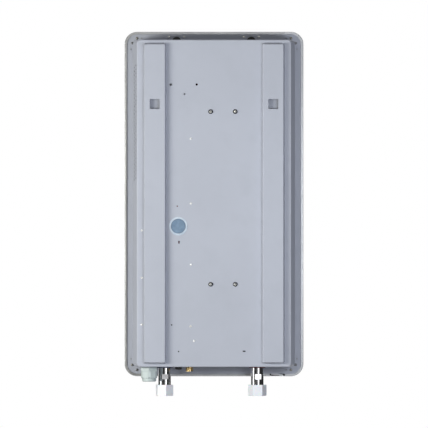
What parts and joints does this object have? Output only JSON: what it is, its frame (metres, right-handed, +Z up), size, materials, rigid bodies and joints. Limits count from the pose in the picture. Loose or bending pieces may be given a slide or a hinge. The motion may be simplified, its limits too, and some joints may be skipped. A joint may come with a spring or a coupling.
{
  "type": "electric boiler",
  "caption": "Slim wall-hung electric boiler with two rear wall rails, capped pipe nipples and a cable gland below.",
  "frame": {"origin": "on the wall plane, midway between the centres of the two square hanging holes", "axes": "+Z up, +Y into the wall, front glass towards -Y, +X to the right seen from the front"},
  "size_m": [0.359, 0.13, 0.7296],
  "materials": {
    "casing_paint": "fine satin powder coat, pale blue-grey",
    "frame_silver": "satin silver lacquer on a moulded frame",
    "front_glass": "black-printed tempered glass",
    "zinc_steel": "bright zinc",
    "black_steel": "black oxide",
    "plug_plastic": "translucent blue-grey moulding",
    "chrome": "polished chrome",
    "cold_ring": "dark blue moulding",
    "hot_ring": "dark red moulding",
    "cap_plastic": "white polyethylene",
    "gland_plastic": "pale grey polyamide",
    "rubber": "black rubber",
    "brass": "turned brass",
    "black_plastic": "black moulding",
    "white_plastic": "white rocker",
    "tank_steel": "pickled stainless steel",
    "copper": "drawn copper",
    "element_steel": "annealed alloy sheath",
    "cast_iron": "cast and painted",
    "motor_paint": "dark painted can",
    "vessel_paint": "red enamel",
    "board": "green circuit board",
    "aluminium": "extruded, milled",
    "wire_red": "silicone sheath",
    "knob_red": "red moulding"
  },
  "bodies": {
    "boiler": {"rear_casing": "casing_paint", "left_wall_rail": "casing_paint", "right_wall_rail": "casing_paint", "front_frame": "frame_silver", "front_glass": "front_glass", "frame_screws": "zinc_steel", "cover_hooks": "black_plastic", "cover_hook_screws": "zinc_steel", "panel_rivets": "zinc_steel", "valve_plug": "plug_plastic", "tank_bolts": "zinc_steel", "tank_washers": "black_steel", "return_nipple": "chrome", "flow_nipple": "chrome", "cold_marker_ring": "cold_ring", "hot_marker_ring": "hot_ring", "union_nuts": "brass", "gland_body": "gland_plastic", "gland_locknut": "gland_plastic", "relief_outlet": "brass", "relief_valve": "brass", "lead_bush": "rubber", "switch_housing": "black_plastic", "heating_tank": "tank_steel", "tank_saddles": "zinc_steel", "tank_bands": "zinc_steel", "tank_gasket": "rubber", "tank_cover": "tank_steel", "tank_cover_bolts": "zinc_steel", "heating_elements": "element_steel", "limit_thermostat": "black_plastic", "air_vent": "brass", "riser_pipes": "copper", "discharge_pipe": "copper", "flow_pipe": "copper", "flow_sensor": "black_plastic", "pump_housing": "cast_iron", "pump_motor": "motor_paint", "pump_mounts": "rubber", "expansion_vessel": "vessel_paint", "vessel_straps": "zinc_steel", "vessel_pipe": "copper", "board_bracket": "zinc_steel", "control_board": "board", "power_relays": "black_plastic", "heat_sink": "aluminium", "element_wires": "wire_red", "terminal_block": "gland_plastic", "terminal_stand": "zinc_steel", "display_module": "black_plastic"},
    "return_washer_body": {"return_cap_washer": "rubber"},
    "return_cap_body": {"return_cap": "cap_plastic"},
    "flow_washer_body": {"flow_cap_washer": "rubber"},
    "flow_cap_body": {"flow_cap": "cap_plastic"},
    "gland_seal_body": {"gland_seal": "rubber"},
    "gland_nut_body": {"gland_nut": "gland_plastic"},
    "rocker_body": {"power_rocker": "white_plastic"},
    "knob_body": {"relief_knob": "knob_red"},
    "rotor_body": {"pump_rotor": "black_plastic"},
    "turbine_body": {"flow_turbine": "white_plastic"}
  },
  "joints": [
    {"name": "return_cap_slide", "type": "slide", "parent": "boiler", "child": "return_washer_body", "axis": [0, 0, -1], "range_m": [0, 0.01633]},
    {"name": "return_cap_turn", "type": "hinge", "parent": "return_washer_body", "child": "return_cap_body", "pos_m": [0.0988, -0.062, -0.5771], "axis": [0, 0, -1], "range_deg": [0, 3240]},
    {"name": "flow_cap_slide", "type": "slide", "parent": "boiler", "child": "flow_washer_body", "axis": [0, 0, -1], "range_m": [0, 0.01633]},
    {"name": "flow_cap_turn", "type": "hinge", "parent": "flow_washer_body", "child": "flow_cap_body", "pos_m": [-0.0866, -0.062, -0.5771], "axis": [0, 0, -1], "range_deg": [0, 3240]},
    {"name": "gland_seal_slide", "type": "slide", "parent": "boiler", "child": "gland_seal_body", "axis": [0, 0, -1], "range_m": [0, 0.006]},
    {"name": "gland_nut_turn", "type": "hinge", "parent": "gland_seal_body", "child": "gland_nut_body", "pos_m": [0.1296, -0.042, -0.5466], "axis": [0, 0, -1], "range_deg": [0, 1440]},
    {"name": "rocker_tilt", "type": "hinge", "parent": "boiler", "child": "rocker_body", "pos_m": [-0.127, -0.118, -0.5416], "axis": [0, 1, 0], "range_deg": [0, 14]},
    {"name": "relief_knob_turn", "type": "hinge", "parent": "boiler", "child": "knob_body", "pos_m": [0.0492, -0.088, -0.466], "axis": [0, -1, 0], "range_deg": [0, 90]},
    {"name": "pump_spin", "type": "hinge", "parent": "boiler", "child": "rotor_body", "pos_m": [0.0988, -0.062, -0.405], "axis": [0, 1, 0], "continuous": true},
    {"name": "flow_turbine_spin", "type": "hinge", "parent": "boiler", "child": "turbine_body", "pos_m": [-0.0866, -0.062, -0.468], "axis": [0, 0, 1], "continuous": true}
  ],
  "couplings": [
    {"joint": "return_cap_turn", "follows": "return_cap_slide", "rad_per_m": 3463.1},
    {"joint": "flow_cap_turn", "follows": "flow_cap_slide", "rad_per_m": 3463.1},
    {"joint": "gland_nut_turn", "follows": "gland_seal_slide", "rad_per_m": 4188.8}
  ]
}
